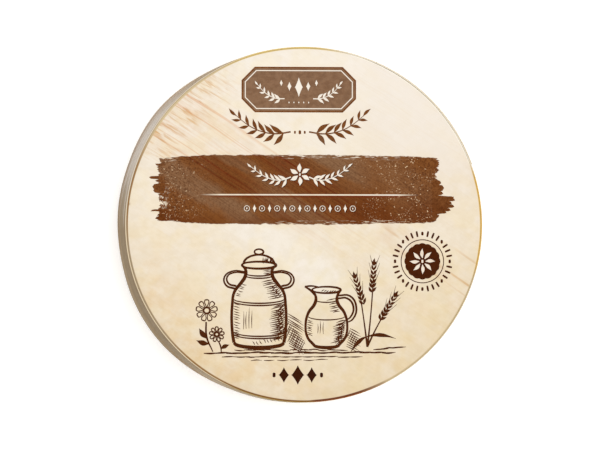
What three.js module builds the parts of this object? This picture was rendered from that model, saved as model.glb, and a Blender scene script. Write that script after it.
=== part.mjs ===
// A shut round cheese box of thin poplar wood, lying flat with its lid up.
// The lid is a thin panel in a bent hoop, and slips over the hoop of the base.
// Millimetres, +Z up, origin at the middle of the underside.
import * as THREE from "three";

// Driving dimensions
const boxHeight = 32;
const lidRadius = 86; // outside of the lid's hoop, across its narrow way
const outOfRound = 1.017; // how much wider the box is along X than along Y
const lidDepth = 17; // how far the lid's hoop reaches down
const veneer = 0.6; // thickness of a hoop
const slipGap = 0.3; // play between the two hoops, and between lid and filling
const panelThickness = 3;
const panelRecess = 0.2; // the lid's panel lies this far below its hoop's edge
const lidSeam = 0.55; // open line between the lid's panel and its hoop
const baseSeam = 0.4;
const edgeChamfer = 0.3;
const facets = 150; // sides of every round outline

// The ends of a hoop overlap. The outer end stands proud by a step, which fades out beyond the lap.
const lapAngle = 25; // degrees
const lapFade = 30; // degrees
const lidLap = { start: 20, step: 0.35 }; // degrees from +X, and mm
const baseLap = { start: -60, step: 0.2 };

// Wire staples that hold the laps
const staple = { height: 9, wire: 0.8, proud: 0.45, arch: 0.15, corner: 0.4, clearance: 0.05 };
const stapleAngles = [3.5, 7.5]; // degrees past the start of a lap

// Sizes that follow
const lidFloor = boxHeight - lidDepth;
const lidInner = lidRadius - veneer;
const baseRadius = lidInner - slipGap;
const baseInner = baseRadius - veneer;
const panelTop = boxHeight - panelRecess;
const fillingTop = panelTop - panelThickness - slipGap;

const wood = {
  panel: new THREE.MeshStandardMaterial({ color: "#f3e6d3", roughness: 0.6, metalness: 0 }),
  hoop: new THREE.MeshStandardMaterial({ color: "#cbad8b", roughness: 0.7, metalness: 0 }),
  base: new THREE.MeshStandardMaterial({ color: "#e2cfb2", roughness: 0.7, metalness: 0 }),
};
const steel = new THREE.MeshStandardMaterial({ color: "#b9b6ae", roughness: 0.35, metalness: 1 });

const radians = THREE.MathUtils.degToRad;

function pointAt(radius, degrees) {
  return new THREE.Vector2(radius * Math.cos(radians(degrees)), radius * Math.sin(radians(degrees)));
}

// How much of its step a lap still has, by the angle past its start.
function lapRise(degrees) {
  return 1 - THREE.MathUtils.smoothstep(degrees, lapAngle, lapAngle + lapFade);
}

function circle(radius) {
  return Array.from({ length: facets }, (_, i) => pointAt(radius, (360 * i) / facets));
}

// A bent hoop: its outer outline starts at the proud end of the lap and comes round to the step below it.
function hoop(name, radius, bottom, top, lap) {
  const outline = Array.from({ length: facets + 1 }, (_, i) => {
    const past = (360 * i) / facets;
    return pointAt(radius + lap.step * lapRise(past), lap.start + past);
  });
  const section = new THREE.Shape(outline);
  section.holes.push(new THREE.Path(circle(radius - veneer)));
  const geometry = new THREE.ExtrudeGeometry(section, { depth: top - bottom, bevelEnabled: false });
  const mesh = new THREE.Mesh(geometry, wood.hoop);
  mesh.name = name;
  mesh.position.z = bottom;
  return mesh;
}

// A round panel with its edges taken off.
function disc(name, radius, bottom, top, material) {
  const profile = [
    [0, bottom],
    [radius - edgeChamfer, bottom],
    [radius, bottom + edgeChamfer],
    [radius, top - edgeChamfer],
    [radius - edgeChamfer, top],
    [0, top],
  ].map(([r, z]) => new THREE.Vector2(r, z));
  const mesh = new THREE.Mesh(new THREE.LatheGeometry(profile, facets).rotateX(Math.PI / 2), material);
  mesh.name = name;
  return mesh;
}

// A staple of flat wire: an upright crown with an end bent in at its top and bottom.
function hoopStaple(name, radius, lap, past, middle) {
  const { height, wire, proud, arch, corner } = staple;
  const half = height / 2;
  const side = new THREE.Shape();
  side.moveTo(0, -half);
  side.lineTo(proud - corner, -half);
  side.absarc(proud - corner, corner - half, corner, -Math.PI / 2, 0, false);
  side.absarc(proud - corner, half - corner, corner, 0, Math.PI / 2, false);
  side.lineTo(0, half);
  side.lineTo(0, half - wire);
  side.lineTo(arch, half - wire);
  side.lineTo(arch, wire - half);
  side.lineTo(0, wire - half);
  const geometry = new THREE.ExtrudeGeometry(side, { depth: wire, bevelEnabled: false, curveSegments: 4 });
  const foot = radius + lap.step + staple.clearance;
  geometry.translate(foot, 0, -wire / 2).rotateX(Math.PI / 2);
  const mesh = new THREE.Mesh(geometry, steel);
  mesh.name = name;
  mesh.rotation.z = radians(lap.start + past);
  mesh.position.z = middle;
  return mesh;
}

const box = new THREE.Group();
box.add(
  disc("lid_panel", lidInner - lidSeam, panelTop - panelThickness, panelTop, wood.panel),
  hoop("lid_hoop", lidRadius, lidFloor, boxHeight, lidLap),
  hoop("base_hoop", baseRadius, 0, fillingTop, baseLap),
  disc("base_panel", baseInner - baseSeam, 0, fillingTop, wood.base),
);
stapleAngles.forEach((past, i) => {
  const number = i + 1;
  box.add(
    hoopStaple("lid_staple_" + number, lidRadius, lidLap, past, (lidFloor + boxHeight) / 2),
    hoopStaple("base_staple_" + number, baseRadius, baseLap, past, lidFloor / 2),
  );
});
box.scale.x = outOfRound;

// The laps stand proud on one side only, so the box is set back to the middle of its own extent.
const middle = new THREE.Box3().setFromObject(box, true).getCenter(new THREE.Vector3());
box.position.set(-middle.x, -middle.y, 0);

const cheeseBox = new THREE.Group();
cheeseBox.add(box);

export default cheeseBox;
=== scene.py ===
import math
import random

import bmesh
import bpy
from mathutils import Matrix, Vector, noise


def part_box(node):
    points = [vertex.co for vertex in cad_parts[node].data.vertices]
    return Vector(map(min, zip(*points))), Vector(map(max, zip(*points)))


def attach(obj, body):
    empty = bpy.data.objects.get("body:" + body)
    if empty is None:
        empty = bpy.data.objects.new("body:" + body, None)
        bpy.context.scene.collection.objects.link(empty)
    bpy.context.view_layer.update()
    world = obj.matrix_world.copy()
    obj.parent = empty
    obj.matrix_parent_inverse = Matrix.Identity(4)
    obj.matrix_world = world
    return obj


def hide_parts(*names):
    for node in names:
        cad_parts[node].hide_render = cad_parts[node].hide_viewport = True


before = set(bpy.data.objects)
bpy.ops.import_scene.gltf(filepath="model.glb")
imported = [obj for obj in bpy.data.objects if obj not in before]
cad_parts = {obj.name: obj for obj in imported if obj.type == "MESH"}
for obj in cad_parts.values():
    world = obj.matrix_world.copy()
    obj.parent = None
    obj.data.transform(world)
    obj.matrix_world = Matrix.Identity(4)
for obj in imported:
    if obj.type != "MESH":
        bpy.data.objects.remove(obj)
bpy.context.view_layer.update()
mm = 0.001


# The frame's own sizes. A hoop stands proud at its lap, so its radius is taken where it is clear of it.

def boxOf(node):
    return [Vector(corner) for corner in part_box(node)]


lidLow, lidHigh = boxOf("lid_panel")
rimLow, rimHigh = boxOf("lid_hoop")
sillLow, sillHigh = boxOf("base_hoop")
footLow, footHigh = boxOf("base_panel")
centre = (lidLow + lidHigh) / 2
outOfRound = (lidHigh.x - lidLow.x) / (lidHigh.y - lidLow.y)
rimRadius = rimHigh.y - centre.y
sillRadius = centre.y - sillLow.y
footRadius = (footHigh.y - footLow.y) / 2
lidTop = lidHigh.z
print("frame loaded, lid top at", round(lidTop / mm, 2), "mm")


# Both hoops

hoop = {
    "veneer": 0.6,
    "lapAngle": 25,
    "lapFade": 30,
    "lapSoft": 4,  # how far the scarf runs on past both sides of the lap
    "tail": 22,  # how far the inner end runs on under the fade
    "edgeRound": 0.14,
    "rows": 6,  # faces from its lower to its upper edge
    "stations": 320,  # faces along the strip
    "inset": 0.03,  # keeps the true round inside the frame's facets
    "wobble": 0.08,  # sway of the whole strip
    "wobbleWaves": (1.7, 30),  # patches round it and up it
    "waver": 0.12,  # dips in its upper edge
    "waverWaves": 9,
    "slipped": 0.03,  # the inner end lies this far below the outer one
}


# Helpers for shader nodes

def colour(red, green, blue):
    # an 8-bit screen colour, made linear for the shader
    levels = [level / 255 for level in (red, green, blue)]
    return [v / 12.92 if v <= 0.04045 else ((v + 0.055) / 1.055) ** 2.4 for v in levels] + [1.0]


def tones(**screen):
    return {name: colour(*levels) for name, levels in screen.items()}


class Wire:
    # one output socket that can be written in sums, as x * 2 + y
    def __init__(self, tree, socket):
        self.tree = tree
        self.socket = socket

    def maths(self, operation, *others, clamp=False):
        node = self.tree.nodes.new("ShaderNodeMath")
        node.operation = operation
        node.use_clamp = clamp
        for socket, value in zip(node.inputs, (self, *others)):
            plug(self.tree, socket, value)
        return Wire(self.tree, node.outputs[0])

    def __add__(self, other):
        return self.maths("ADD", other)

    def __sub__(self, other):
        return self.maths("SUBTRACT", other)

    def __mul__(self, other):
        return self.maths("MULTIPLY", other)

    def size(self):
        return self.maths("ABSOLUTE")

    def most(self, other):
        return self.maths("MAXIMUM", other)

    def least(self, other):
        return self.maths("MINIMUM", other)

    def inverse(self):
        return Wire(self.tree, 1.0) - self

    def step(self, low, high):
        # 0 below low and 1 above high, with a soft way between; low may be the larger
        node = addNode(self.tree, "MapRange", interpolation_type="SMOOTHSTEP")
        for socket, value in zip(node.inputs[:5], (self, min(low, high), max(low, high), 0, 1)):
            plug(self.tree, socket, value)
        made = Wire(self.tree, node.outputs[0])
        return made if low < high else made.inverse()

    def ramp(self, low, high):
        # a step between two places in mm
        return self.step(low * mm, high * mm)

    def belt(self, middle, outside, inside):
        # 1 along a line and 0 away from it, in mm
        return (self - middle * mm).size().ramp(outside, inside)

    def mixed(self, amount, tone, blend="MIX"):
        node = addNode(self.tree, "Mix", {"Factor": amount}, data_type="RGBA", blend_type=blend)
        plug(self.tree, node.inputs[6], self)
        plug(self.tree, node.inputs[7], tone)
        return Wire(self.tree, node.outputs[2])

    def stained(self, amount, tone):
        return self.mixed(amount, tone, "MULTIPLY")


def plug(tree, socket, value):
    if isinstance(value, Wire):
        value = value.socket
    if isinstance(value, bpy.types.NodeSocket):
        tree.links.new(value, socket)
    else:
        socket.default_value = value


def addNode(tree, kind, sockets=None, **settings):
    node = tree.nodes.new("ShaderNode" + kind)
    for name, value in settings.items():
        setattr(node, name, value)
    for name, value in (sockets or {}).items():
        plug(tree, node.inputs[name], value)
    return node


def noiseAt(x, y, z, scales, detail=2.0, roughness=0.5, distortion=0.0):
    # scales are patches per metre along each axis
    place = addNode(x.tree, "CombineXYZ", {"X": x * scales[0], "Y": y * scales[1], "Z": z * scales[2]})
    node = addNode(x.tree, "TexNoise", {
        "Vector": place.outputs[0],
        "Scale": 1.0,
        "Detail": detail,
        "Roughness": roughness,
        "Distortion": distortion,
    })
    return Wire(x.tree, node.outputs["Fac"])


def marksAt(x, y, z, table):
    # marks by name: a shift along x, then the values of the noise, and where they fade in
    return {
        name: noiseAt(x + shift, y, z, scales, detail, roughness, distortion).step(low, high)
        for name, (shift, scales, detail, roughness, distortion, low, high) in table.items()
    }


def newGroup(name, outputs, inputs=()):
    # a socket called Color is a colour, and all others are values
    tree = bpy.data.node_groups.new(name, "ShaderNodeTree")
    for labels, way in ((inputs, "INPUT"), (outputs, "OUTPUT")):
        for label in labels:
            kind = "NodeSocketColor" if label == "Color" else "NodeSocketFloat"
            tree.interface.new_socket(label, in_out=way, socket_type=kind)
    given = tree.nodes.new("NodeGroupInput").outputs
    return tree, [Wire(tree, given[label]) for label in inputs]


def giveOut(tree, wires):
    out = tree.nodes.new("NodeGroupOutput").inputs
    for label, wire in wires.items():
        plug(tree, out[label], wire)
    return tree


def useGroup(tree, group, sockets=None):
    node = tree.nodes.new("ShaderNodeGroup")
    node.node_tree = group
    for name, value in (sockets or {}).items():
        plug(tree, node.inputs[name], value)
    return {output.name: Wire(tree, output) for output in node.outputs}


def placeOnBox(tree):
    # x and y from the middle of the box, and z from its underside
    split = addNode(tree, "SeparateXYZ", {"Vector": addNode(tree, "TexCoord").outputs["Object"]})
    x, y, z = (Wire(tree, output) for output in split.outputs)
    return x - centre.x, y - centre.y, z


def roundOf(x, y):
    # distance from the middle, with the oval taken out
    wide = x * (1 / outOfRound)
    return (wide * wide + y * y).maths("SQRT")


def sector(x, y, middle, half, soft=8):
    # 1 on one stretch of the round, 0 elsewhere
    away = math.radians(middle)
    facing = x * math.cos(away) + y * math.sin(away)
    return facing.maths("DIVIDE", roundOf(x, y)).step(
        math.cos(math.radians(half + soft)), math.cos(math.radians(max(0, half - soft))),
    )


def newMaterial(name, glint=0.5):
    material = bpy.data.materials.new(name)
    material.use_nodes = True
    tree = material.node_tree
    tree.nodes.clear()
    shader = tree.nodes.new("ShaderNodeBsdfPrincipled")
    output = tree.nodes.new("ShaderNodeOutputMaterial")
    shader.inputs["Specular IOR Level"].default_value = glint
    tree.links.new(shader.outputs[0], output.inputs["Surface"])
    return material, tree, shader


def coat(shader, body, roughness, height, depth, strength):
    # colour, roughness, and bumps of a depth in mm
    bump = addNode(body.tree, "Bump", {"Height": height})
    bump.inputs["Distance"].default_value = depth * mm
    bump.inputs["Strength"].default_value = strength
    for name, value in (("Base Color", body), ("Roughness", roughness), ("Normal", bump.outputs[0])):
        plug(body.tree, shader.inputs[name], value)


# Wood grain: X runs along the fibres, Y across them

def makeGrain():
    parts = ("Fibre", "Streak", "Cloud", "Pore")
    tree, place = newGroup("poplarGrain", parts, ("Along", "Across", "Depth"))
    return giveOut(tree, {
        "Fibre": noiseAt(*place, (55, 1500, 1500), 3.0, 0.6),
        "Streak": noiseAt(*place, (8, 420, 420), 2.0, 0.55, 0.2),
        "Cloud": noiseAt(*place, (22, 65, 65), 3.0, 0.55),
        "Pore": noiseAt(*place, (190, 3400, 3400), 1.0).step(0.62, 0.74),
    })


grain = makeGrain()

# The lid's bare wood. Its grain runs down to the right, and the print lies over it.
lidWood = {
    **tones(
        cream=(222, 214, 202), cool=(220, 212, 201), dim=(252, 251, 252), tint=(255, 251, 238),
        tan=(210, 194, 168), warmRed=(232, 176, 128), gold=(240, 218, 180), blush=(253, 250, 246),
        dash=(230, 198, 160), amber=(246, 228, 200), straw=(251, 250, 237), mist=(244, 241, 234),
    ),
    "slope": 0.66,  # fall of the grain for each step to the right
    "heart": (11, 24, 12),  # the belt's middle and the outside and inside of its soft edge
    "dashes": (15, 40, 22),
    "coolBelt": (-19, 15, 4),
    # amber lines and one amber belt: place across the grain, half width, left and right end, share
    "veins": [
        (24.6, 1.0, 42, 90, 0.7), (18.7, 0.7, 50, 90, 0.4), (37.5, 0.9, 76, 90, 0.45),
        (23, 11, 38, 68, 0.36),
    ],
    # where the seam's tones, partly painted light and shade, reach further in over the panel's edge:
    # middle, half width, soft edge, and how far in
    "wornEdge": [(182, 56, 16, 0.34), (140, 16, 14, 0.26), (312, 20, 12, 0.2)],
    "glint": 0.02,
    "seam": 0.08,
}
marksOnGrain = {
    "fleck": (0, (55, 330, 55), 2, 0.6, 0, 0.5, 0.64),
    "stripe": (0, (5, 620, 6), 2, 0.6, 0.1, 0.46, 0.62),
    "band": (0.2, (5, 240, 6), 2, 0.5, 0.1, 0.44, 0.6),
    "short": (0.3, (105, 640, 40), 3, 0.6, 0.3, 0.53, 0.66),
    "blot": (0.7, (90, 300, 40), 2, 0.55, 0, 0.53, 0.68),
    "thread": (0.5, (14, 760, 11), 2, 0.6, 0, 0.5, 0.68),
    "broken": (0, (60, 120, 40), 2, 0.6, 0, 0.36, 0.6),
}
marksOnLid = {
    "mottle": (0, (105, 120, 90), 3, 0.65, 0, 0.34, 0.66),
    "patch": (0.6, (85, 95, 90), 3, 0.65, 0, 0.4, 0.64),
    "tint": (0.9, (75, 85, 60), 2, 0.6, 0, 0.42, 0.6),
}


def makeLidGround():
    tree = newGroup("lidGround", ("Color", "Across", "Line", "Fibre", "Cloud"))[0]
    x, y, z = placeOnBox(tree)
    drift = noiseAt(x, y, z, (18, 18, 18), 1.0) - 0.5
    across = y + x * lidWood["slope"] + drift * 0.005
    wood = useGroup(tree, grain, {"Along": x, "Across": across, "Depth": z})
    marks = {**marksAt(x, across, z, marksOnGrain), **marksAt(x, y, z, marksOnLid)}
    stripe, band = marks["stripe"], marks["band"]
    # the heart streaks lie in one belt along the grain, with short dashes towards the upper left rim
    heart = across.belt(*lidWood["heart"])
    corner = across.belt(*lidWood["dashes"]) * x.ramp(-8, -52) * y.ramp(4, 24)
    line = (stripe * (band * 0.5 + 0.3) + band * 0.3 + marks["fleck"] * 0.15) * heart
    line = line.least(1.0)
    # partly the wood's own tan and partly painted shade: darker towards -Y and towards both ends in X
    tanWobble = noiseAt(x, y, z, (15, 15, 15), 3.0, 0.6) - 0.5
    low = (y * -6.2 + x * x * 14 + tanWobble * 0.5 + 0.36).maths("ADD", 0.0, clamp=True)
    body = Wire(tree, lidWood["cream"]).mixed(low, lidWood["tan"])
    # the upper right is quieter than the rest
    lively = (x.ramp(-40, 50) * y.ramp(0, 50) * 0.7).inverse()
    body = body.stained(wood["Cloud"].step(0.45, 0.75) * lively * 0.14, lidWood["gold"])
    body = body.stained(wood["Fibre"].step(0.45, 0.75) * 0.12, lidWood["gold"])
    cool = across.belt(*lidWood["coolBelt"]) * x.ramp(-46, -26) * x.ramp(34, 4)
    body = body.mixed(cool * 0.8, lidWood["cool"])
    # mottled low down: amber towards the rim, straw further in and to the right
    warm = roundOf(x, y).ramp(52, 80) * y.ramp(8, -34) * (x.ramp(10, -16) * 0.75 + 0.25) * marks["mottle"]
    green = y.ramp(14, -30) * (x.ramp(-30, 20) * 0.5 + 0.3) * marks["patch"]
    fleece = noiseAt(x, y + 0.4, z, (210, 240, 90), 3.0, 0.7).step(0.36, 0.64)
    leftward = (x.ramp(40, -70) * 0.45 + 0.12) * (y.ramp(-14, 22) * 0.75 + 0.25)
    fine = stripe * (band * 0.8 + 0.15) * heart
    rimward = roundOf(x, y).ramp(64, 80) * 0.84 + 0.16
    dashes = (marks["short"] * 0.58 + marks["blot"] * 0.58 + marks["thread"] * 0.3) * corner * rimward
    stains = [
        (x.ramp(12, 42) * y.ramp(-6, 30), "dim"), (warm * 0.5, "amber"), (green * 0.6, "straw"),
        (fleece * lively * 0.4, "mist"), (marks["tint"] * lively * 0.65, "tint"), (corner, "blush"),
        ((fine + line * 0.25) * leftward, "warmRed"), (dashes.least(1.0), "dash"),
    ]
    for middle, half, left, right, share in lidWood["veins"]:
        ends = x.ramp(left - 6, left + 6) * x.ramp(right + 6, right - 6)
        vein = across.belt(middle, half, half * 0.2) * ends
        stains.append((vein * marks["broken"] * share, "dash"))
    for amount, tone in stains:
        body = body.stained(amount, lidWood[tone])
    return giveOut(tree, {
        "Color": body, "Across": across, "Line": line, "Fibre": wood["Fibre"], "Cloud": wood["Cloud"],
    })


lidGround = makeLidGround()

# Brown ink, thin enough to take the grain below it: redder on the heart streaks, greyer where it is thin
inkTones = {
    **tones(
        brown=(115, 68, 29), grey=(124, 90, 62), red=(98, 38, 8), deep=(97, 47, 10),
        shade=(170, 142, 116), speck=(220, 192, 156),
    ),
    "glint": 0.02,
}
# belts along the grain: middle across it, half width, left and right end, share
thinInk = [
    (-17, 9.5, -95, 4, 0.95), (8, 6, -50, 16, 0.6), (0, 8, -22, 12, 0.65), (45, 11, 0, 32, 1.0),
    (50, 16, 28, 120, 0.4),
]
redInk = [(-2.5, 8, -64, -20, 0.9), (24, 12, -30, 60, 1.0)]


def makeInkGround():
    tree = newGroup("inkGround", ("Color",))[0]
    x, y, z = placeOnBox(tree)
    bare = useGroup(tree, lidGround)
    cloud = noiseAt(x, y, z, (28, 34, 24), 4.0, 0.65, 0.6)
    smoke = noiseAt(x, bare["Across"], z, (42, 130, 24), 3.0, 0.6, 0.4)
    across = bare["Across"] + (cloud - 0.5) * 0.016 + (smoke - 0.5) * 0.008

    def belts(places, strongest):
        for middle, half, left, right, share in places:
            place = across.belt(middle, half, half * 0.4)
            place = place * x.ramp(left - 10, left + 10) * x.ramp(right + 14, right - 14)
            strongest = strongest.most(place * share)
        return strongest

    thin = belts(thinInk, cloud.step(0.42, 0.68) * 0.25) * (smoke.step(0.3, 0.62) * 0.3 + 0.7)
    red = belts(redInk, bare["Line"] * 0.4)
    body = Wire(tree, inkTones["brown"]).mixed(thin, inkTones["grey"])
    body = body.mixed(red * 0.25, inkTones["deep"])
    body = body.mixed(bare["Line"].step(0.08, 0.7) * (red * 0.75 + 0.15), inkTones["red"])
    # it lies thickest low down at both ends
    deep = x.ramp(4, 34) * across.belt(27, 16, 5) * y.ramp(22, 10)
    deep = deep.most(x.ramp(-52, -68) * y.ramp(15, 3)).most(x.ramp(34, 54) * y.ramp(20, 5) * 0.85)
    body = body.mixed(deep * (smoke.step(0.35, 0.6) * 0.45 + 0.45), inkTones["deep"])
    grit = noiseAt(x, y, z, (1300, 1300, 900), 3.0, 0.7).step(0.46, 0.62)
    coarse = x.ramp(-46, -60).most(x.ramp(40, 60)) * 0.35 + 0.4
    return giveOut(tree, {"Color": body.stained(grit * coarse, inkTones["shade"])})


inkGround = makeInkGround()

# The brushed brown field across the lid, with a fine pale rule through it
brush = {
    "low": 0.2,
    "high": 33.6,
    "left": -71.2,
    "right": 66.0,
    "rule": 14.4,
    "ruleHalf": 0.32,
    "ruleLeft": -52,
    "ruleRight": 57,
    "ruleFade": 13,
}


def brushMask(tree, x, y, z):
    # how much of the brown lies at x and y from the lid's middle, and how near its edges and ends are
    u = x - (brush["left"] + brush["right"]) / 2 * mm
    v = y - (brush["low"] + brush["high"]) / 2 * mm
    halfLong = (brush["right"] - brush["left"]) / 2 * mm
    halfHigh = (brush["high"] - brush["low"]) / 2 * mm
    side = u.maths("SIGN")
    # ends: broad lumps, then marks of the bristles
    lump = noiseAt(side * 0.5, v, side * 0.1, (1, 150, 1), 2.0) - 0.5
    bristle = noiseAt(u, v, side * 0.3, (260, 1100, 1), 2.0, 0.6) - 0.5
    endGap = u.size() - halfLong + lump * 0.009 + bristle * 0.0035 + v * v * 7
    wave = noiseAt(u, side, side, (38, 0, 0), 3.0, 0.6) - 0.5
    ragged = noiseAt(u, v, z, (330, 900, 1), 2.0, 0.6) - 0.5
    edgeGap = v.size() - halfHigh + wave * 0.0026 + ragged * 0.0014 + u * u * u * u * 70
    # scrapes run along the edges of the middle and right, and at the top of the left end
    scraped = (u.ramp(-18, 0) * u.ramp(60, 34)).most(u.ramp(-58, -62) * v.ramp(0, 6))
    scrape = noiseAt(u, v, z, (170, 1500, 1), 2.0, 0.6).step(0.54, 0.6) * edgeGap.ramp(-2.2, -0.6) * scraped
    # the brush ran dry in one place at the left end
    dry = endGap.ramp(-5.5, -1) * u.ramp(0, -8) * v.belt(-4, 6, 3)
    scrape = scrape.most(noiseAt(u, v + 0.1, z, (700, 520, 1), 3.0, 0.65).step(0.5, 0.56) * dry)
    # pale specks lie towards the ends
    fine = noiseAt(u, v, z, (1250, 1250, 1), 2.0, 0.65).step(0.6, 0.66)
    cluster = noiseAt(u, v, z, (75, 110, 1), 2.0, 0.6).step(0.46, 0.6)
    large = noiseAt(u, v + 0.3, z, (560, 560, 1), 2.0, 0.6).step(0.655, 0.7)
    ends = endGap.ramp(-50, -10) * u.ramp(0, 8) + endGap.ramp(-28, -8) * u.ramp(0, -8) * 0.7
    speck = (fine * cluster).most(large * 0.9) * ends
    return endGap.ramp(0.3, -0.3) * edgeGap.ramp(0.22, -0.22) * scrape.inverse(), speck, edgeGap, endGap, v


# The seam round the lid's panel is pale and golden on the right, brown on the left and darkest low down

# partly the cut edges' own tones, partly painted light on the lit right and painted shade of the groove
# elsewhere
seamTones = tones(
    tan=(192, 172, 134), brown=(136, 98, 52), grey=(146, 126, 98), gold=(206, 166, 84),
    olive=(205, 178, 110), pale=(236, 229, 213), dark=(116, 70, 8), burnt=(96, 34, 0),
    bronze=(150, 124, 62), umber=(146, 86, 4),
)
# its stretches: middle, half width, soft edge, tone
seamParts = [
    (200, 44, 12, "brown"), (204, 14, 12, "grey"), (48, 34, 8, "pale"), (97, 16, 8, "olive"),
    (2, 12, 6, "gold"), (261, 17, 8, "dark"),
]


def burntPart(x, y):
    # starts sharply and fades out
    return sector(x, y, 285, 12, 1.5) * sector(x, y, 277, 16, 8)


def makeSeamGround():
    tree = newGroup("seamGround", ("Color",))[0]
    x, y, z = placeOnBox(tree)
    body = Wire(tree, seamTones["tan"])
    for middle, half, soft, tone in seamParts:
        body = body.mixed(sector(x, y, middle, half, soft), seamTones[tone])
    return giveOut(tree, {"Color": body.mixed(burntPart(x, y), seamTones["burnt"])})


seamGround = makeSeamGround()


def makeLidMaterial():
    material, tree, shader = newMaterial("printedPoplar", lidWood["glint"])
    x, y, z = placeOnBox(tree)
    bare = useGroup(tree, lidGround)
    brown, speck, edgeGap, endGap, v = brushMask(tree, x, y, z)
    # ink gathers along the lower edge and round the ends
    pool = noiseAt(x, y, z, (45, 90, 1), 3.0, 0.6).step(0.36, 0.62)
    wet = edgeGap.ramp(-6, 0) * v.ramp(4, -11) * 0.7 + endGap.ramp(-4, 0) * 0.4
    ink = useGroup(tree, inkGround)["Color"].mixed((wet * pool).least(0.8), inkTones["deep"])
    ink = ink.stained(bare["Fibre"].step(0.42, 0.72) * 0.42, inkTones["shade"])
    ink = ink.mixed(speck * 0.92, inkTones["speck"])
    # the rule fades out at both ends and has a dark line close below it
    left, right, fade, half = (brush["rule" + name] for name in ("Left", "Right", "Fade", "Half"))
    span = x.ramp(left, left + fade) * x.ramp(right, right - fade)
    rule = y.belt(brush["rule"], half * 1.3, half * 0.7) * span
    under = y.belt(brush["rule"] - 2.6 * half, half * 2, half) * span
    ink = ink.mixed(under * 0.7, inkTones["red"])
    cover = brown * rule.inverse() * 0.995
    body = bare["Color"].mixed(cover, ink)
    # the cut edge of the panel takes the tones of the seam, partly painted light and shade, with one nick
    # at the left
    worn = burntPart(x, y) * 0.18
    for middle, halfTurn, soft, reach in lidWood["wornEdge"]:
        worn = worn + sector(x, y, middle, halfTurn, soft) * reach
    rimward = (roundOf(x, y) * -1 + lidRadius - worn * mm).ramp(0.64, 0.28)
    body = body.mixed(rimward * 0.95, useGroup(tree, seamGround)["Color"])
    body = body.mixed(y.belt(9.8, 0.8, 0.2) * x.ramp(-84.2, -85.6) * 0.45, seamTones["brown"])
    roughness = bare["Fibre"] * 0.12 + 0.55 - cover * 0.06
    coat(shader, body, roughness, bare["Fibre"] * 0.7 + bare["Cloud"] * 0.3, 0.05, 0.35)
    return material


def makeInkMaterial(name, tone, amount):
    # a printed film of the same ink, drawn towards a tone of its own and pressed a little unevenly
    material, tree, shader = newMaterial(name, inkTones["glint"])
    x, y, z = placeOnBox(tree)
    fibre = useGroup(tree, lidGround)["Fibre"]
    body = useGroup(tree, inkGround)["Color"].mixed(amount, tone)
    uneven = noiseAt(x, y, z, (300, 420, 40), 4.0, 0.7).step(0.38, 0.64)
    body = body.stained(uneven * 0.34, inkTones["shade"])
    coat(shader, body, fibre * 0.12 + 0.5, fibre, 0.04, 0.3)
    return material


def makePaleMaterial():
    # bare wood left free in the print
    material, tree, shader = newMaterial("barePoplar", lidWood["glint"])
    bare = useGroup(tree, lidGround)
    body = bare["Color"].mixed(0.6, lidWood["cream"])
    coat(shader, body, bare["Fibre"] * 0.12 + 0.55, bare["Fibre"], 0.04, 0.3)
    return material


lidRadius = rimRadius - (hoop["veneer"] + lidWood["seam"]) * mm
lidMaterial = makeLidMaterial()
brownInk = makeInkMaterial("brownInk", colour(104, 58, 24), 0.35)
softInk = makeInkMaterial("softInk", colour(136, 113, 92), 0.55)
lineInk = makeInkMaterial("lineInk", colour(62, 24, 4), 0.86)
darkInk = makeInkMaterial("darkInk", colour(46, 13, 2), 0.94)
paleWood = makePaleMaterial()
print("lid wood and inks mixed")


def grained(body, wood, streak, shares, *stains):
    # streaks, fibres and pores of the grain, each with its share and its stain
    marks = (wood["Streak"].step(*streak), wood["Fibre"].step(0.42, 0.75), wood["Pore"])
    for mark, share, stain in zip(marks, shares, stains):
        body = body.stained(mark * share, stain)
    return body


# Raw veneer that follows its strip: the strip's own flat place is kept in an attribute

def makeStripMaterial(name, tones):
    material, tree, shader = newMaterial(name, 0.12)
    flat = addNode(tree, "Attribute", attribute_name="strip")
    split = addNode(tree, "SeparateXYZ", {"Vector": flat.outputs["Vector"]})
    along, through, up = (Wire(tree, output) for output in split.outputs)
    x, y, z = placeOnBox(tree)
    wood = useGroup(tree, grain, {"Along": along, "Across": up, "Depth": through})
    body = Wire(tree, tones["pale"]).mixed(wood["Cloud"].step(0.35, 0.7), tones["tan"])
    # painted light on a stretch facing left and back, and painted shade on one facing left; their ends run
    # out along the fibres
    wander = (noiseAt(along, up, through, (24, 300, 1), 3.0, 0.65) - 0.5) * 0.07
    streakFade = wood["Streak"].step(0.62, 0.4) * 0.3 + 0.7
    body = body.mixed(sector(x + wander, y + wander, 152, 11, 13) * streakFade * 0.8, tones["worn"])
    body = body.stained(sector(x + wander, y + wander, 201, 28, 14), tones["smoked"])
    body = grained(body, wood, (0.5, 0.72), (0.6, 0.45, 0.35), *[tones["dark"]] * 3)
    # cut edges face up and down; the upper one takes painted light at the back left and goes over into the
    # seam's tones
    golden = sector(x, y, 2, 13, 6).most(sector(x, y, 97, 14))
    inner = through.ramp(0.36, 0.16) * sector(x, y, 188, 42, 8).inverse()
    cutTone = Wire(tree, tones["cut"]).mixed(sector(x, y, 145, 26, 12) * 0.5, tones["worn"])
    # darker low down on the cut edge: partly its own tone and partly painted shade
    cutTone = cutTone.mixed(sector(x, y, 264, 18, 6), seamTones["bronze"])
    cutTone = cutTone.mixed(burntPart(x, y), seamTones["umber"])
    cutTone = cutTone.mixed(inner.most(golden) * 0.95, useGroup(tree, seamGround)["Color"])
    normal = addNode(tree, "SeparateXYZ", {"Vector": addNode(tree, "NewGeometry").outputs["Normal"]})
    cut = Wire(tree, normal.outputs["Z"]).size().step(0.45, 0.8)
    height = wood["Fibre"] * 0.8 - wood["Pore"] * 0.4
    coat(shader, body.mixed(cut * 0.97, cutTone), wood["Fibre"] * 0.15 + 0.6, height, 0.08, 0.5)
    return material


# both veneers are darker than the lid's wood: partly their own grey-brown and partly painted shade of the
# upright side
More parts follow.
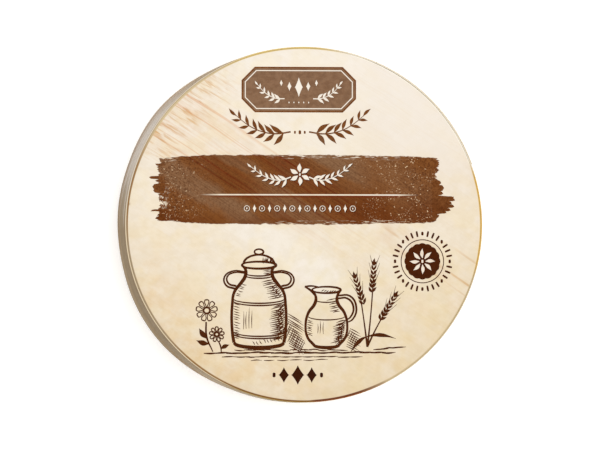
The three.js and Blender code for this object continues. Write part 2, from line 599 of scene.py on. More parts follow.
rimVeneer = makeStripMaterial("rimVeneer", tones(
    pale=(158, 142, 117), tan=(144, 125, 98), worn=(186, 179, 172), smoked=(208, 200, 185),
    dark=(212, 184, 150), cut=(202, 184, 154),
))
baseVeneer = makeStripMaterial("baseVeneer", tones(
    pale=(170, 149, 122), tan=(155, 131, 102), worn=(178, 171, 163), smoked=(225, 226, 218),
    dark=(206, 176, 140), cut=(190, 163, 126),
))

# The unprinted panel of the base, with its grain at a slant of its own
rawWood = {
    **tones(
        pale=(222, 203, 172), tan=(206, 181, 145), streak=(222, 190, 150), fibre=(214, 180, 142),
        pore=(200, 165, 125),
    ),
    "slant": (0.94, 0.34),
    "glint": 0.3,
}


def makeRawMaterial():
    material, tree, shader = newMaterial("rawPoplar", rawWood["glint"])
    x, y, z = placeOnBox(tree)
    cosine, sine = rawWood["slant"]
    along = x * cosine + y * sine + 0.4
    across = y * cosine - x * sine + (noiseAt(x, y, z, (16, 16, 16), 2.0) - 0.5) * 0.008
    wood = useGroup(tree, grain, {"Along": along, "Across": across, "Depth": z})
    body = Wire(tree, rawWood["pale"]).mixed(wood["Cloud"].step(0.35, 0.7), rawWood["tan"])
    stains = [rawWood[name] for name in ("streak", "fibre", "pore")]
    body = grained(body, wood, (0.48, 0.7), (0.55, 0.35, 0.3), *stains)
    height = wood["Fibre"] * 0.8 - wood["Pore"] * 0.5
    coat(shader, body, wood["Fibre"] * 0.15 + 0.62, height, 0.08, 0.6)
    return material


rawPoplar = makeRawMaterial()

# Bright flat wire, drawn along its length and a little dulled
wireTones = tones(bright=(214, 211, 204), dull=(164, 156, 142))


def makeWireMaterial():
    material, tree, shader = newMaterial("stapleWire")
    x, y, z = placeOnBox(tree)
    drawn = noiseAt(x, y, z, (4200, 4200, 300), 2.0, 0.6)
    dull = noiseAt(x, y, z, (500, 500, 260), 2.0, 0.6).step(0.45, 0.7)
    shader.inputs["Metallic"].default_value = 1.0
    body = Wire(tree, wireTones["bright"]).mixed(dull * 0.7, wireTones["dull"])
    coat(shader, body, dull * 0.22 + drawn * 0.12 + 0.2, drawn, 0.02, 0.4)
    return material


stapleWire = makeWireMaterial()
print("veneer, base and wire mixed")


smoothAngle = math.radians(40)


def addObject(name, data):
    made = bpy.data.objects.new(name, data)
    bpy.context.collection.objects.link(made)
    return made


def makeMesh(bm, name, materials):
    mesh = bpy.data.meshes.new(name)
    bm.to_mesh(mesh)
    bm.free()
    for material in materials:
        mesh.materials.append(material)
    return mesh


def finishPiece(bm, name, materials, replaced=None):
    bmesh.ops.recalc_face_normals(bm, faces=bm.faces)
    mesh = makeMesh(bm, name, materials)
    piece = addObject(name, mesh)
    mesh.shade_smooth()
    mesh.set_sharp_from_angle(angle=smoothAngle)
    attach(piece, "root")
    if replaced:
        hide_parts(replaced)


def ovalTo(bm):
    # set out round about the origin, the box is a little wider along X, and sits on the frame's centre
    bmesh.ops.scale(bm, vec=(outOfRound, 1, 1), verts=bm.verts)
    bmesh.ops.translate(bm, vec=(centre.x, centre.y, 0), verts=bm.verts)


def roundCorners(bm, corners, size, segments):
    bmesh.ops.bevel(
        bm, geom=corners, offset=size * mm, offset_type="OFFSET", affect="VERTICES",
        segments=segments, profile=0.5, material=-1,
    )


def makeSection(bm, rows, placed, size, segments):
    # an open ring of edges: a square of side 1, set by a matrix, with rounded corners
    bmesh.ops.create_grid(bm, x_segments=1, y_segments=rows, size=0.5)
    corners = [vert for vert in bm.verts if abs(vert.co.y) > 0.49]
    bmesh.ops.transform(bm, matrix=placed, verts=bm.verts)
    roundCorners(bm, corners, size, segments)
    bmesh.ops.dissolve_faces(bm, faces=bm.faces)
    bmesh.ops.delete(bm, geom=bm.faces[:], context="FACES_ONLY")
    return bm.verts[:] + bm.edges[:]


def drawOut(bm, ring, step, count=1, about=None, turn=0.0):
    # carries an open ring of edges on, straight by a step or round an upright bend, and gives back its end
    made = bmesh.ops.spin(
        bm, geom=ring, cent=about or (0, 0, 0), axis=(0, -1, 0), dvec=step, angle=math.radians(turn),
        steps=count, use_merge=False, use_duplicate=False,
    )
    return made["geom_last"]


def closeEnds(bm):
    bmesh.ops.holes_fill(bm, edges=[edge for edge in bm.edges if edge.is_boundary], sides=0)


# Round panels: half a section spun into a disc

panel = {
    "edge": 0.25,
    "edgeCut": 0.3,  # share of the edge that its middle is set in
    "sides": 240,
    "rings": (0, 0.25, 0.5, 0.75, 0.9),  # shares of the radius
}


def makePanel(name, radius, bottom, top, material, replaced):
    bm = bmesh.new()
    rings = [radius * share for share in panel["rings"]]
    corner = panel["edge"] * mm
    cut = corner * panel["edgeCut"]
    outline = [(r, top) for r in rings] + [
        (radius - corner, top), (radius - cut, top - cut), (radius, top - corner),
        (radius, bottom + corner), (radius - cut, bottom + cut), (radius - corner, bottom),
    ] + [(r, bottom) for r in reversed(rings)]
    verts = [bm.verts.new((r, 0, z)) for r, z in outline]
    lines = [bm.edges.new(pair) for pair in zip(verts, verts[1:])]
    bmesh.ops.spin(
        bm, geom=verts + lines, cent=(0, 0, 0), axis=(0, 0, 1), dvec=(0, 0, 0),
        angle=math.tau, steps=panel["sides"], use_merge=True, use_duplicate=False,
    )
    bmesh.ops.remove_doubles(bm, verts=bm.verts, dist=1e-6)
    ovalTo(bm)
    finishPiece(bm, name, [material], replaced)


makePanel("lidPanel", lidRadius, lidLow.z, lidTop, lidMaterial, "lid_panel")
makePanel("basePanel", footRadius, footLow.z, footHigh.z, rawPoplar, "base_panel")


# Hoops: a straight strip of veneer, bent round until its scarfed ends overlap

# a flare pushes the lower edge out or in: middle and half width in degrees, and how far
rimHoop = {"lap": 20, "step": 0.35, "seed": 1, "flares": [(106, 20, -0.45)]}
sillHoop = {
    "lap": -60,
    "step": 0.2,
    "seed": 2,
    "flares": [(104, 18, -0.4), (139, 24, 1.1), (189, 18, -0.3), (221, 30, 0.75)],
}


def smooth(value, low, high):
    share = min(1, max(0, (value - low) / (high - low)))
    return share * share * (3 - 2 * share)


def stripFaces(past, step):
    # inner and outer face of the strip, from the hoop's own radius, by the angle past its outer end
    veneer, lap, fade, soft = (hoop[name] for name in ("veneer", "lapAngle", "lapFade", "lapSoft"))

    def lower(angle):
        return -(veneer - step) * smooth(angle, -soft, lap + soft) - step * smooth(angle, lap, lap + fade)

    if past <= 180:
        return lower(past), step * (1 - smooth(past, lap, lap + fade))
    return -veneer, min(0, lower(past - 360) - hoop["slipped"])


def flareAt(bend, angle, up):
    # dies out towards the lid
    push = 0
    for middle, half, reach in bend["flares"]:
        away = abs((math.degrees(angle) - middle + 180) % 360 - 180)
        push += reach * (1 - smooth(away, 0, half))
    return push * (1 - smooth(up, 3 * mm, rimLow.z))


def makeHoop(name, radius, bottom, top, bend, material, replaced):
    bm = bmesh.new()
    strip = bm.verts.layers.float_vector.new("strip")
    # the section lies across X: its thickness along Y, its height along Z
    height = top - bottom
    thick = hoop["veneer"] * mm
    upright = Matrix(((0, 0, 1, 0), (thick, 0, 0, thick / 2), (0, height, 0, height / 2), (0, 0, 0, 1)))
    section = makeSection(bm, hoop["rows"], upright, hoop["edgeRound"], 3)
    turn = 360 + hoop["lapAngle"] + hoop["tail"]
    drawOut(bm, section, (turn / hoop["stations"], 0, 0), hoop["stations"])
    closeEnds(bm)
    # X is now the angle past the outer end
    waves, risingWaves = hoop["wobbleWaves"]
    for vert in bm.verts:
        past, through, up = vert.co.x, vert.co.y / thick, vert.co.z
        vert[strip] = (math.radians(past) * radius, vert.co.y, up + bend["seed"] * 0.05)
        inner, outer = stripFaces(past, bend["step"])
        angle = math.radians(bend["lap"] + past)
        spot = Vector((math.cos(angle), math.sin(angle), bend["seed"]))
        sway = 0.5 + 0.5 * noise.noise(spot * waves + Vector((0, 0, up * risingWaves)))
        dip = hoop["waver"] * abs(noise.noise(spot * hoop["waverWaves"]) - 0.4) * mm
        nearEdge = (2 * up / height - 1) ** 9
        offset = inner + (outer - inner) * through - hoop["inset"] + flareAt(bend, angle, up)
        r = radius + (offset - hoop["wobble"] * sway) * mm
        vert.co = (r * math.cos(angle), r * math.sin(angle), bottom + up - nearEdge * dip)
    ovalTo(bm)
    finishPiece(bm, name, [material], replaced)


makeHoop("lidHoop", rimRadius, rimLow.z, rimHigh.z, rimHoop, rimVeneer, "lid_hoop")
makeHoop("baseHoop", sillRadius, sillLow.z, sillHigh.z, sillHoop, baseVeneer, "base_hoop")
print("panels and hoops made")


# Staples: flat wire bent out of the veneer, up and back in

staple = {
    "wide": 0.8,
    "thick": 0.3,
    "bend": 0.35,
    "bendSteps": 6,
    "leg": 0.6,
    "edgeRound": 0.09,
    "foot": -0.01,  # where the bends start, off the veneer
}


def makeStaple(name, node, radius, bend):
    low, high = boxOf(node)
    spot = (low + high) / 2 - centre
    angle = math.atan2(spot.y, spot.x / outOfRound)
    wide, thick, curl, leg = (staple[name] * mm for name in ("wide", "thick", "bend", "leg"))
    half = (high.z - low.z) / 2 - thick / 2
    bm = bmesh.new()
    start = Matrix(((0, 0, 1, -leg), (wide, 0, 0, 0), (0, thick, 0, -half), (0, 0, 0, 1)))
    end = drawOut(bm, makeSection(bm, 1, start, staple["edgeRound"], 2), (leg, 0, 0))
    end = drawOut(bm, end, (0, 0, 0), staple["bendSteps"], (0, 0, curl - half), 90)
    end = drawOut(bm, end, (0, 0, 2 * (half - curl)))
    end = drawOut(bm, end, (0, 0, 0), staple["bendSteps"], (0, 0, half - curl), 90)
    drawOut(bm, end, (-leg, 0, 0))
    closeEnds(bm)
    outward = radius + (bend["step"] + staple["foot"]) * mm
    bmesh.ops.translate(bm, vec=(outward, 0, (low.z + high.z) / 2), verts=bm.verts)
    bmesh.ops.rotate(bm, cent=(0, 0, 0), matrix=Matrix.Rotation(angle, 3, "Z"), verts=bm.verts)
    ovalTo(bm)
    finishPiece(bm, name, [stapleWire], node)


for number in (1, 2):
    makeStaple(f"lidStaple{number}", f"lid_staple_{number}", rimRadius, rimHoop)
    makeStaple(f"baseStaple{number}", f"base_staple_{number}", sillRadius, sillHoop)
print("staples bent")


# Printing. A plate holds tapered strokes in mm from the lid's middle, and is pressed on as a thin film.

press = {
    "film": 0.03,
    "shake": 0.16,
    "bold": 1.3,  # weight of the lines in the still life
}
hand = random.Random(11)


def spread(values, share):
    # the value at a share of the way along a short row of values
    place = share * (len(values) - 1)
    before = min(int(place), len(values) - 2)
    return values[before] + (values[before + 1] - values[before]) * (place - before)


def stroke(plate, points, widths):
    # one that comes back to its start is a closed ring
    spline = plate.splines.new("BEZIER")
    if (Vector(points[0]) - Vector(points[-1])).length < 1e-6:
        spline.use_cyclic_u = True
        points = points[:-1]
    spline.bezier_points.add(len(points) - 1)
    spline.radius_interpolation = "CARDINAL"
    for i, (knot, point) in enumerate(zip(spline.bezier_points, points)):
        knot.co = (point[0] * mm, point[1] * mm, 0)
        knot.radius = spread(widths, i / (len(points) - 1))
        knot.handle_left_type = "AUTO"
        knot.handle_right_type = "AUTO"


def toward(turn, length=1.0):
    return Vector((math.cos(math.radians(turn)), math.sin(math.radians(turn)))) * length


def leaf(plate, stalk, turn, length, width):
    # a lens that leaves its stalk and bows a little
    stalk, ahead, aside = Vector(stalk), toward(turn, length), toward(turn + 90, length * 0.06)
    stroke(plate, [stalk, stalk + ahead * 0.48 + aside, stalk + ahead], (width * 0.2, width, width * 0.04))


def diamond(plate, middle, width, height):
    middle, up = Vector(middle), Vector((0, height / 2))
    points = [middle - up, middle - up * 0.05, middle + up * 0.05, middle + up]
    stroke(plate, points, (0.02, width, width, 0.02))


def dot(plate, middle, width):
    middle, half = Vector(middle), Vector((width * 0.3, 0))
    stroke(plate, [middle - half, middle, middle + half], (width * 0.7, width, width * 0.7))


def arc(plate, middle, across, high, start, end, widths, knots=9):
    turns = [math.radians(spread((start, end), i / (knots - 1))) for i in range(knots)]
    points = [(middle[0] + across * math.cos(t), middle[1] + high * math.sin(t)) for t in turns]
    stroke(plate, points, widths)


def bow(first, middle, last, share):
    # a place on a simple bend, and which way it runs there
    left = 1 - share
    place = first * left * left + middle * 2 * left * share + last * share * share
    run = (middle - first) * left + (last - middle) * share
    return place, math.degrees(math.atan2(run.y, run.x))


def bentStroke(plate, first, middle, last, widths):
    ends = [Vector(point) for point in (first, middle, last)]
    stroke(plate, [bow(*ends, i / 4)[0] for i in range(5)], widths)


def sprig(plate, ends, pairs, length, width, stem, lean=40):
    # a bent stem with leaves in pairs, smaller towards its tip
    ends = [Vector(point) for point in ends]
    bentStroke(plate, *ends, (stem, stem * 0.4))
    for i in range(pairs):
        share = (i + 0.8) / (pairs + 0.4)
        place, turn = bow(*ends, share)
        size = 1.1 - 0.5 * share
        for side in (-1, 1):
            turned = turn + side * (lean + hand.uniform(-5, 5))
            leaf(plate, place, turned, length * size * hand.uniform(0.92, 1.06), width * size)
    leaf(plate, ends[-1], bow(*ends, 1)[1], length * 0.7, width * 0.7)


def twoSprigs(plate, middle, ends, *sizes):
    # one to each side of a middle; the ends are told for the right one
    for side in (-1, 1):
        sprig(plate, [(middle[0] + side * out, middle[1] + up) for out, up in ends], *sizes)


def leafRing(plate, middle, count, start, inset, length, width):
    for i in range(count):
        turn = start + 360 * i / count
        leaf(plate, Vector(middle) + toward(turn, inset), turn, length, width)


def hatch(plate, axis, rows):
    # strokes side by side from one place to another: both places from the axis, the run of each stroke,
    # how many, and their width
    for x, y, lastX, lastY, runX, runY, count, width in rows:
        first, last, run = Vector((axis + x, y)), Vector((axis + lastX, lastY)), Vector((runX, runY))
        aside = Vector((-run.y, run.x)).normalized()
        for i in range(count):
            start = first.lerp(last, i / (count - 1))
            start += Vector((hand.uniform(-1, 1), hand.uniform(-1, 1))) * press["shake"]
            reach = run * hand.uniform(0.78, 1.08)
            bent = start + reach * 0.5 + aside * hand.uniform(-0.3, 0.3)
            stroke(plate, [start, bent, start + reach], (width * 0.5, width, width * 0.25))


def finishFilm(bm, name, materials, at, level=0.0):
    # sets a film on the lid; level is how far above the wood
    place = (centre.x + at[0] * mm, centre.y + at[1] * mm, lidTop + level * mm)
    bmesh.ops.translate(bm, vec=place, verts=bm.verts)
    finishPiece(bm, name, materials)


def pressOn(name, draw, material, level=0.0, at=(0, 0), weight=1.0):
    plate = bpy.data.curves.new(name, "CURVE")
    plate.dimensions = "3D"
    plate.bevel_depth = 0.5 * mm * weight
    plate.bevel_resolution = 0
    plate.resolution_u = 4
    plate.use_fill_caps = True
    draw(plate)
    holder = addObject(name, plate)
    solid = holder.evaluated_get(bpy.context.evaluated_depsgraph_get())
    bm = bmesh.new()
    bm.from_mesh(solid.to_mesh())
    solid.to_mesh_clear()
    bpy.data.objects.remove(holder)
    bmesh.ops.remove_doubles(bm, verts=bm.verts, dist=1e-7)
    film = press["film"] * mm
    for vert in bm.verts:
        vert.co.z = max(-film, min(film, vert.co.z))
    finishFilm(bm, name, [material], at, level)


def raiseFilm(bm):
    # gives flat faces the thickness of a film, half above and half below
    film = Vector((0, 0, press["film"] * mm))
    sides = bmesh.ops.extrude_face_region(bm, geom=bm.faces[:])["geom"]
    raised = [item for item in sides if isinstance(item, bmesh.types.BMVert)]
    bmesh.ops.translate(bm, vec=2 * film, verts=raised)
    bmesh.ops.translate(bm, vec=-film, verts=bm.verts)


# Tips that the brush left at both ends of the field: height, how far out, and width

brushTips = {
    "left": [
        (28.8, 3.6, 1.3), (22.6, 6.6, 1.6), (21.0, 3.6, 1.3), (18.4, 5.0, 3.2), (16.2, 4.6, 2.8),
        (14.2, 2.4, 1.0), (6.6, 5.8, 1.0), (4.6, 2.8, 1.0), (3.2, 3.6, 1.6), (2.2, 1.8, 1.2),
    ],
    "right": [
        (31.0, 2.6, 0.9), (20.4, 3.4, 2.8), (17.6, 4.8, 3.6), (15.4, 4.4, 2.2), (13.4, 9.6, 2.0),
        (12.0, 10.2, 1.9), (10.4, 8.6, 2.0), (8.8, 9.8, 2.0), (7.4, 8.0, 2.0), (6.0, 6.0, 1.8),
        (4.4, 2.4, 2.2),
    ],
    "root": 3.2,  # how far in they start
    "inset": 2.2,
}


def drawBrushTips(plate):
    for side, out in (("left", -1), ("right", 1)):
        edge = brush[side]
        inset = brushTips["inset"] * out
        for height, reach, width in brushTips[side]:
            tip = edge - inset + reach * out
            points = [
                (edge - brushTips["root"] * out, height + hand.uniform(-0.3, 0.3)),
                (edge - inset, height),
                (tip - 0.8 * out, height + hand.uniform(-0.3, 0.3)),
                (tip, height + hand.uniform(-0.5, 0.5)),
            ]
            stroke(plate, points, (width * 0.8, width, width * 0.75, width * 0.1))


pressOn("brushTips", drawBrushTips, brownInk)


# In the field: a pale garland above the rule and a row of diamonds below it, each with a dark edge

garland = {
    "middle": (-2, 24.2),
    "ends": [(4.4, -1.2), (12.925, -5.78), (23.5, 3.4)],
    "sprig": (6, 4.4, 1.3, 0.6),  # pairs of leaves, their length and width, and the stem's width
    "flower": (6, 90, 1.2, 4.2, 2.1),  # petals, turn, how far out they start, their length and width
    "rowLow": 7.8,
    "rowStep": 3.7,
    "rowHalf": 7,
    "shadow": (0.28, -0.3),
}


def drawGarland(plate):
    middle = garland["middle"]
    twoSprigs(plate, middle, garland["ends"], *garland["sprig"])
    leafRing(plate, middle, *garland["flower"])
    dot(plate, middle, 1.3)
    for i in range(-garland["rowHalf"], garland["rowHalf"] + 1):
        spot = (middle[0] + i * garland["rowStep"], garland["rowLow"])
        if i % 2:
            dot(plate, spot, 0.9)
            arc(plate, spot, 1.3, 1.3, 0, 360, (0.28, 0.28), 9)
        else:
            diamond(plate, spot, 1.5, 3.8)


# drawn twice with the same random draws
for layer, ink, height, shift in (("Shade", darkInk, 0.0, garland["shadow"]), ("", paleWood, 0.03, (0, 0))):
    hand.seed(5)
    pressOn("garland" + layer, drawGarland, ink, height, shift)
print("field printed")


# Over the field: a brown plaque with a pale inset line, and two brown branches below it

plaque = {
    "middle": (-2.5, 65.2),
    "width": 56,
    "height": 22,
    "corner": 6.5,
    # rings from the outside in: dark border, brown gap and pale line, with the number of the material
    "rings": [(0.7, 1), (0.9, 0), (0.45, 2)],
    "ears": [(7, -4.4), (14.5, -5.2), (20, 2.2)],
    "earLeaves": (5, 3.6, 1.2, 0.5, 42),
    # how far out and up, and how wide and high
    "diamonds": [(4.6, 1.6, 1.8, 4.4), (8.6, 3.2, 1.3, 3.0)],
}
branches = {
    "middle": (-2, 44.6),
    "ends": [(4.5, 0.2), (19, -3.6), (31, 7.9)],
    "leaves": (6, 7.4, 2.2, 0.8, 42),
    "dots": [(-2.4, 1.5), (0, 2.0), (2.4, 1.5)],
}


def makePlaque():
    bm = bmesh.new()
    bmesh.ops.create_grid(bm, x_segments=1, y_segments=1, size=0.5 * mm)
    bmesh.ops.scale(bm, vec=(plaque["width"], plaque["height"], 1), verts=bm.verts)
    roundCorners(bm, bm.verts[:], plaque["corner"], 1)
    field = bm.faces[:][0]
    for width, tone in plaque["rings"]:
        bm.normal_update()
        ring = bmesh.ops.inset_region(
            bm, faces=[field], thickness=width * mm, use_even_offset=True, use_boundary=True,
        )
        for face in ring["faces"]:
            face.material_index = tone
    field.material_index = 0
    raiseFilm(bm)
    finishFilm(bm, "plaque", [softInk, brownInk, paleWood], plaque["middle"])


def drawEmblem(plate):
    # diamonds between two ears of leaves
    x, y = plaque["middle"]
    twoSprigs(plate, (x, y), plaque["ears"], *plaque["earLeaves"])
    for side in (-1, 1):
        for out, up, width, height in plaque["diamonds"]:
            diamond(plate, (x + side * out, y + up), width, height)
    diamond(plate, (x, y + 1.2), 3.4, 9.4)
    for i in range(5):
        dot(plate, (x + (i - 2) * 2.4, y - 6.2), 0.8)


def drawBranches(plate):
    x, y = branches["middle"]
    twoSprigs(plate, (x, y), branches["ends"], *branches["leaves"])
    for step, width in branches["dots"]:
        dot(plate, (x + step, y), width)


makePlaque()
pressOn("emblem", drawEmblem, paleWood, 0.05)
pressOn("branches", drawBranches, brownInk)
print("plaque and branches printed")


# Under the field: a milk churn, a jug and wheat, drawn in line with hatched shade

# A profile holds half widths and heights. A handle holds how far out and how high its knots lie, each with
# how much it gives way on the inner line.
churn = {
    "axis": -22,
    "profile": [
        (12.2, -57), (13, -52), (13, -38), (12, -32.5), (8.6, -28), (6.7, -25), (6.6, -21.6), (8.4, -19.6),
    ],
    "bands": [(12.9, -52.5), (13.1, -36.5), (6.7, -24.6)],
    "flat": 0.2,  # how far its rounds are seen from above
    "handle": [
        (11.6, -0.4, -31, 1), (16.2, -1, -29.2, 0.6), (16.8, -1, -25.2, 0), (12.4, -0.3, -22.4, -0.6),
        (7, 0, -22.8, -0.5),
    ],
    "hatches": [
        (12.4, -54.5, 12.6, -38.5, -7, -1.6, 18, 0.5), (12.4, -51, 12.6, -37.6, -4.6, -4.6, 13, 0.4),
        (11.8, -34.6, 7.2, -26.6, -6.4, -1.3, 10, 0.46), (11.6, -33.4, 8.6, -28.4, -3.2, -3, 6, 0.36),
        (11.5, -55.8, -2, -58.2, -1.2, 2, 9, 0.36), (6, -23.6, 6, -21.8, -4, -0.6, 4, 0.34),
        (-12, -54.5, -12.4, -38, 3, -0.9, 14, 0.36), (-11.4, -34, -8.4, -28.6, 2.4, -0.6, 6, 0.34),
        (-7.5, -50.5, -3.5, -50.2, 0.2, 10.5, 4, 0.32), (1.6, -18.6, 6.4, -18.6, 0.5, 2.8, 8, 0.4),
    ],
}
jug = {
    "axis": 11,
    "profile": [
        (6.2, -58), (9.2, -54.5), (10.2, -48.5), (8.8, -42.5), (5.6, -38), (5.2, -34.8), (7, -31.5),
    ],
    "flat": 0.22,
    "handle": [
        (5.8, 0, -34.2, -1), (11.5, -1, -34.4, -0.8), (14.6, -1, -39.5, 0), (13, -1, -45.5, 0.5),
        (9.6, 0, -47.4, 1),
    ],
    "hatches": [
        (8.4, -55.4, 9.6, -46, -6, -1.6, 12, 0.48), (7.8, -55, 9.4, -46.4, -3.8, -3.6, 9, 0.38),
        (6.4, -41.8, 4.6, -35.6, -4.2, -0.9, 7, 0.42), (-9.4, -53, -9.4, -46, 2.8, -0.8, 8, 0.34),
        (-4.4, -52.5, -1.6, -52.8, 0.1, 6, 3, 0.3), (-1, -31.6, 4.6, -31.8, -1.6, -1, 6, 0.34),
    ],
}
groundHatches = [
    (-49, -62.2, 38, -61.8, 8.5, 0.4, 17, 0.7), (-34, -60.6, 16, -60.4, 6, -0.3, 12, 0.5),
    (-40, -64, 22, -63.8, 7.5, 0.2, 12, 0.5), (-26, -65.6, 6, -65.4, 6.5, 0.2, 6, 0.4),
    (-7.4, -58.6, -7.8, -43, 8, -4.8, 14, 0.42), (-8, -46, 0.5, -56.6, -3.2, -7, 12, 0.36),
    (20.6, -58.6, 22.4, -50, 6, -3.2, 9, 0.38), (22.8, -50.6, 27, -55.4, -2.2, -4.6, 6, 0.34),
    (34, -60.2, 44, -59.2, 6, 0.2, 5, 0.55),
]
wheat = {
    "root": (31, -59),
    # each ear's bend, top and turn
    "ears": [((29.5, -46), (27, -31), 108), ((33, -44), (34, -25), 86), ((36, -48), (41.5, -39.5), 58)],
    "blades": [((27, -55), (22.5, -62)), ((37, -52), (45, -55))],
    "grains": 7,
}
daisies = {
    "heads": [(-47.5, -41.5, 1.1), (-42.6, -53, 0.75)],
    "petals": 9,
    "leaves": [
        ((-47.4, -55), 128, 6.2, 2.0), ((-46.4, -57.6), 165, 6.4, 2.0), ((-40.6, -60), 25, 4.6, 1.6),
    ],
}


def drawVessel(plate, vessel, width):
    axis, flat = vessel["axis"], vessel["flat"]
    for side in (-1, 1):
        points = [(axis + side * half, high) for half, high in vessel["profile"]]
        stroke(plate, points, (width, width * 0.8, width * 1.15, width * 0.7))
    footHalf, foot = vessel["profile"][0]
    topHalf, top = vessel["profile"][-1]
    arc(plate, (axis, foot), footHalf, footHalf * flat, 180, 360, (width, width * 1.2, width))
    arc(plate, (axis, top), topHalf, topHalf * flat, 0, 360, (width * 0.8, width * 0.5, width * 0.8), 13)


def drawHandle(plate, vessel, side, inset, widths):
    for shift in (0, inset):
        points = [
            (vessel["axis"] + side * (out + shift * outward), high + shift * upward)
            for out, outward, high, upward in vessel["handle"]
        ]
        stroke(plate, points, widths)


def drawChurn(plate):
    axis = churn["axis"]
    drawVessel(plate, churn, 1.25)
    for half, high in churn["bands"]:
        for gap in (0, 1.1):
            arc(plate, (axis, high + gap), half, half * churn["flat"], 184, 356, (0.35, 0.6, 0.45))
    # lid with its knob
    arc(plate, (axis, -19.2), 7.6, 4.6, 8, 172, (0.9, 0.7, 0.9))
    arc(plate, (axis, -13.2), 2.2, 1.3, -20, 340, (0.8, 0.6, 0.8))
    for side in (-1, 1):
        drawHandle(plate, churn, side, 1.3, (0.8, 0.65, 0.55))
    hatch(plate, axis, churn["hatches"])


def drawJug(plate):
    axis = jug["axis"]
    drawVessel(plate, jug, 1.1)
    # lip
    stroke(plate, [(axis - 5.6, -34), (axis - 7.6, -31.8), (axis - 10.6, -29.9)], (0.8, 0.9, 0.6))
    stroke(plate, [(axis - 10.6, -29.9), (axis - 7.4, -29.6), (axis - 3.6, -30.1)], (0.6, 0.7, 0.4))
    drawHandle(plate, jug, 1, 1.4, (0.7, 0.8, 0.5))
    arc(plate, (axis, -36.4), 5.2, 1.1, 186, 354, (0.3, 0.5, 0.3))
    arc(plate, (axis, -44), 9.3, 2, 188, 352, (0.3, 0.5, 0.3))
    hatch(plate, axis, jug["hatches"])


def drawWheat(plate):
    root = Vector(wheat["root"])
    for knee, top, turn in wheat["ears"]:
        top = Vector(top)
        bentStroke(plate, root, knee, top, (0.75, 0.5, 0.5))
        for i in range(wheat["grains"]):
            share = i / (wheat["grains"] - 1)
            place = top + toward(turn, (share - 0.6) * 13)
            for side in (-1, 1):
                leaf(plate, place, turn + side * (34 - 8 * share), 3.5 - 0.8 * share, 1.05 - 0.3 * share)
                if i % 2:
                    tip = place + toward(turn + side * 18, 9.5 - 2 * share)
                    stroke(plate, [place, (place + tip) / 2, tip], (0.28, 0.24, 0.1))
        leaf(plate, top + toward(turn, 5.8), turn, 3.2, 0.95)
    for knee, end in wheat["blades"]:
        bentStroke(plate, root + Vector((0, 5)), knee, end, (0.4, 1.5, 0.1))


def drawDaisies(plate):
    for x, y, size in daisies["heads"]:
        middle = Vector((x, y))
        for i in range(daisies["petals"]):
            turn = 360 * i / daisies["petals"] + 10
            rim = middle + toward(turn, 4.4 * size)
            points = [
                middle + toward(turn - 7, 1.7 * size), rim + toward(turn - 90, 0.85 * size),
                rim + toward(turn, 0.3), rim + toward(turn + 90, 0.85 * size),
                middle + toward(turn + 7, 1.7 * size),
            ]
            stroke(plate, points, (0.35, 0.5, 0.35))
        arc(plate, middle, 1.4 * size, 1.3 * size, 0, 360, (0.7, 0.7))
    stroke(plate, [(-47.8, -47), (-47.6, -54), (-44.5, -61.4)], (0.6, 0.75, 0.4))
    stroke(plate, [(-41.6, -56.6), (-40.6, -59.2), (-40.4, -61.6)], (0.5, 0.6, 0.4))
    for stalk, turn, length, width in daisies["leaves"]:
        leaf(plate, stalk, turn, length, width)


def drawStillLife(plate):
    for draw in (drawChurn, drawJug, drawWheat, drawDaisies):
        draw(plate)
    hatch(plate, 0, groundHatches)


pressOn("stillLife", drawStillLife, lineInk, weight=press["bold"])


# To the right: a round seal in a ring of ticks. Below: three small diamonds.

seal = {
    "middle": (58, -17.6),
    "radius": 8.4,
    "scallops": 16,
    "scallopRise": 0.05,  # share of the radius
    "ring": (12.0, 14.8),
    "ticks": 32,
    "rosette": (8, 0, 1.6, 4.6, 1.7),
}


def makeSealDisc():
    bm = bmesh.new()
    bmesh.ops.create_circle(bm, cap_ends=True, segments=8 * seal["scallops"], radius=seal["radius"] * mm)
    for vert in bm.verts:
        turn = math.atan2(vert.co.y, vert.co.x) * seal["scallops"]
        vert.co *= 1 + seal["scallopRise"] * abs(math.cos(turn / 2))
    raiseFilm(bm)
    finishFilm(bm, "sealDisc", [lineInk], seal["middle"])


def drawSealRing(plate):
    middle = Vector(seal["middle"])
    inner, outer = seal["ring"]
    for i in range(seal["ticks"]):
        start, half, end = (toward(360 * i / seal["ticks"], r) for r in (inner, (inner + outer) / 2, outer))
        if i % 4:
            stroke(plate, [middle + start, middle + half, middle + end], (0.8, 1.0, 0.8))
        else:
            dot(plate, middle + half, 1.9)
    arc(plate, middle, inner - 1.6, inner - 1.6, 0, 360, (0.45, 0.45), 25)


def drawRosette(plate):
    leafRing(plate, seal["middle"], *seal["rosette"])
    dot(plate, seal["middle"], 1.6)


def drawFootMark(plate):
    for step, size in ((-6.8, 0.8), (0, 1), (6.8, 0.8)):
        diamond(plate, (-3 + step, -72.6), 5.6 * size, 9.4 * size)
    for step in (-11.6, 11.6):
        dot(plate, (-3 + step, -72.6), 2.4)


makeSealDisc()
pressOn("sealRing", drawSealRing, lineInk)
pressOn("rosette", drawRosette, paleWood, 0.05)
pressOn("footMark", drawFootMark, darkInk)
print("still life, seal and foot mark printed")


# Camera: a long lens that looks down on the lid, tipped a little to one side

shot = {
    "tilt": 9.2,
    "toward": 185,  # the side of the box that it is tipped to, degrees from +X
    "lens": 1000,
    "sensor": 36,
    "frameWidth": 600,  # pixels
    "frameHeight": 450,
    "lidAcross": 356.2,  # pixels, along Y
    "lidCentre": (304.0, 224.65),
}


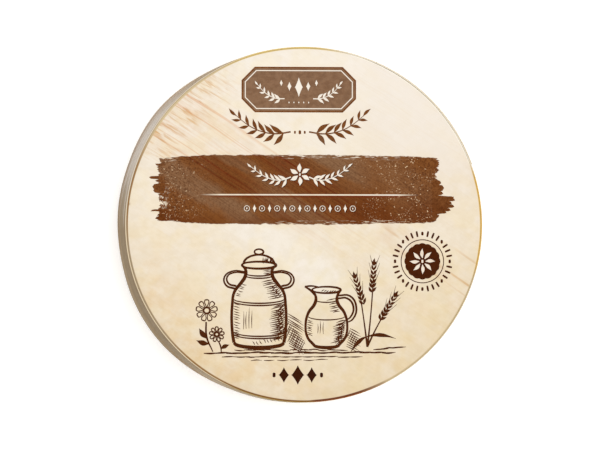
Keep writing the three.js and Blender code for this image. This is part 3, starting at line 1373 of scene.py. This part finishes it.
def placeCamera():
    tilt = math.radians(shot["tilt"])
    perPixel = 2 * rimRadius / shot["lidAcross"]
    side = toward(shot["toward"], math.sin(tilt))
    back = Vector((side.x, side.y, math.cos(tilt)))
    right = Vector((0, 1, 0)).cross(back).normalized()
    up = back.cross(right)
    offX = (shot["frameWidth"] / 2 - shot["lidCentre"][0]) * perPixel
    offY = (shot["lidCentre"][1] - shot["frameHeight"] / 2) * perPixel
    aim = Vector((centre.x, centre.y, rimHigh.z)) + right * offX + up * offY
    distance = shot["frameWidth"] * perPixel * shot["lens"] / shot["sensor"]
    data = bpy.data.cameras.new("camera")
    data.lens = shot["lens"]
    data.sensor_width = shot["sensor"]
    data.clip_start = 0.1
    data.clip_end = 100
    camera = addObject("camera", data)
    camera.matrix_world = Matrix((
        (right.x, up.x, back.x, 0), (right.y, up.y, back.y, 0), (right.z, up.z, back.z, 0), (0, 0, 0, 1),
    ))
    camera.location = aim + back * distance
    bpy.context.scene.camera = camera


placeCamera()


# Floor and light

studio = {
    "floor": colour(250, 250, 249),
    "floorSize": 60,  # metres
    "floorGlow": 0.27,
    "sky": 1.03,  # as light on the box
    "skySeen": 1.0,  # as the background
    "sunPower": 1.0,
    "sunWidth": 70,  # degrees across, so that shadows are soft
    "sunFrom": (0.42, 0.32, 1.2),
}


def makeFloor():
    bm = bmesh.new()
    bmesh.ops.create_grid(bm, x_segments=1, y_segments=1, size=studio["floorSize"] / 2)
    material, tree, shader = newMaterial("paleFloor", 0.0)
    for name in ("Base Color", "Emission Color"):
        shader.inputs[name].default_value = studio["floor"]
    shader.inputs["Emission Strength"].default_value = studio["floorGlow"]
    shader.inputs["Roughness"].default_value = 0.9
    addObject("floor", makeMesh(bm, "floor", [material]))


def makeLights():
    world = bpy.data.worlds.new("studioSky")
    world.use_nodes = True
    tree = world.node_tree
    background = tree.nodes["Background"]
    background.inputs["Color"].default_value = (1, 1, 1, 1)
    seen = Wire(tree, addNode(tree, "LightPath").outputs["Is Camera Ray"])
    plug(tree, background.inputs["Strength"], seen * (studio["skySeen"] - studio["sky"]) + studio["sky"])
    bpy.context.scene.world = world
    data = bpy.data.lights.new("softSun", "SUN")
    data.energy = studio["sunPower"]
    data.angle = math.radians(studio["sunWidth"])
    sun = addObject("softSun", data)
    sun.rotation_euler = Vector(studio["sunFrom"]).to_track_quat("Z", "Y").to_euler()


makeFloor()
makeLights()
bpy.context.scene.view_settings.view_transform = "Standard"
print("camera, floor and light placed")
